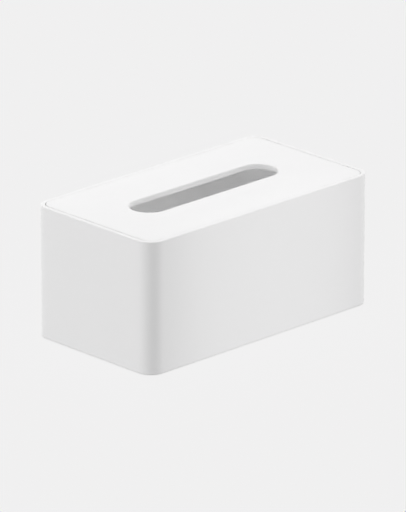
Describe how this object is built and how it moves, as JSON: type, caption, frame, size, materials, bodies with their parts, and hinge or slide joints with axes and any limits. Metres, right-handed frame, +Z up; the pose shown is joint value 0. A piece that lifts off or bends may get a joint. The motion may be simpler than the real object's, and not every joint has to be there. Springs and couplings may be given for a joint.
{
  "type": "tissue box",
  "caption": "Rectangular tissue box with round upright corners and a flush lift-off lid, which has a long round-ended slot for pulling tissues.",
  "frame": {"origin": "on the table, under the middle of the box", "axes": "+X along the length, +Y towards the back long side, +Z up"},
  "size_m": [0.25, 0.1354, 0.1131],
  "materials": {
    "case_plastic": "matt white moulded plastic with a fine spark-eroded texture",
    "lid_plastic": "matt white moulded plastic with a fine spark-eroded texture",
    "foot_rubber": "soft grey rubber"
  },
  "bodies": {
    "case": {"case": "case_plastic", "foot_front_left": "foot_rubber", "foot_front_right": "foot_rubber", "foot_back_left": "foot_rubber", "foot_back_right": "foot_rubber"},
    "lid": {"lid": "lid_plastic"}
  },
  "joints": [
    {"name": "lid_lift", "type": "slide", "parent": "case", "child": "lid", "axis": [0, 0, 1], "range_m": [0, 0.12]}
  ]
}
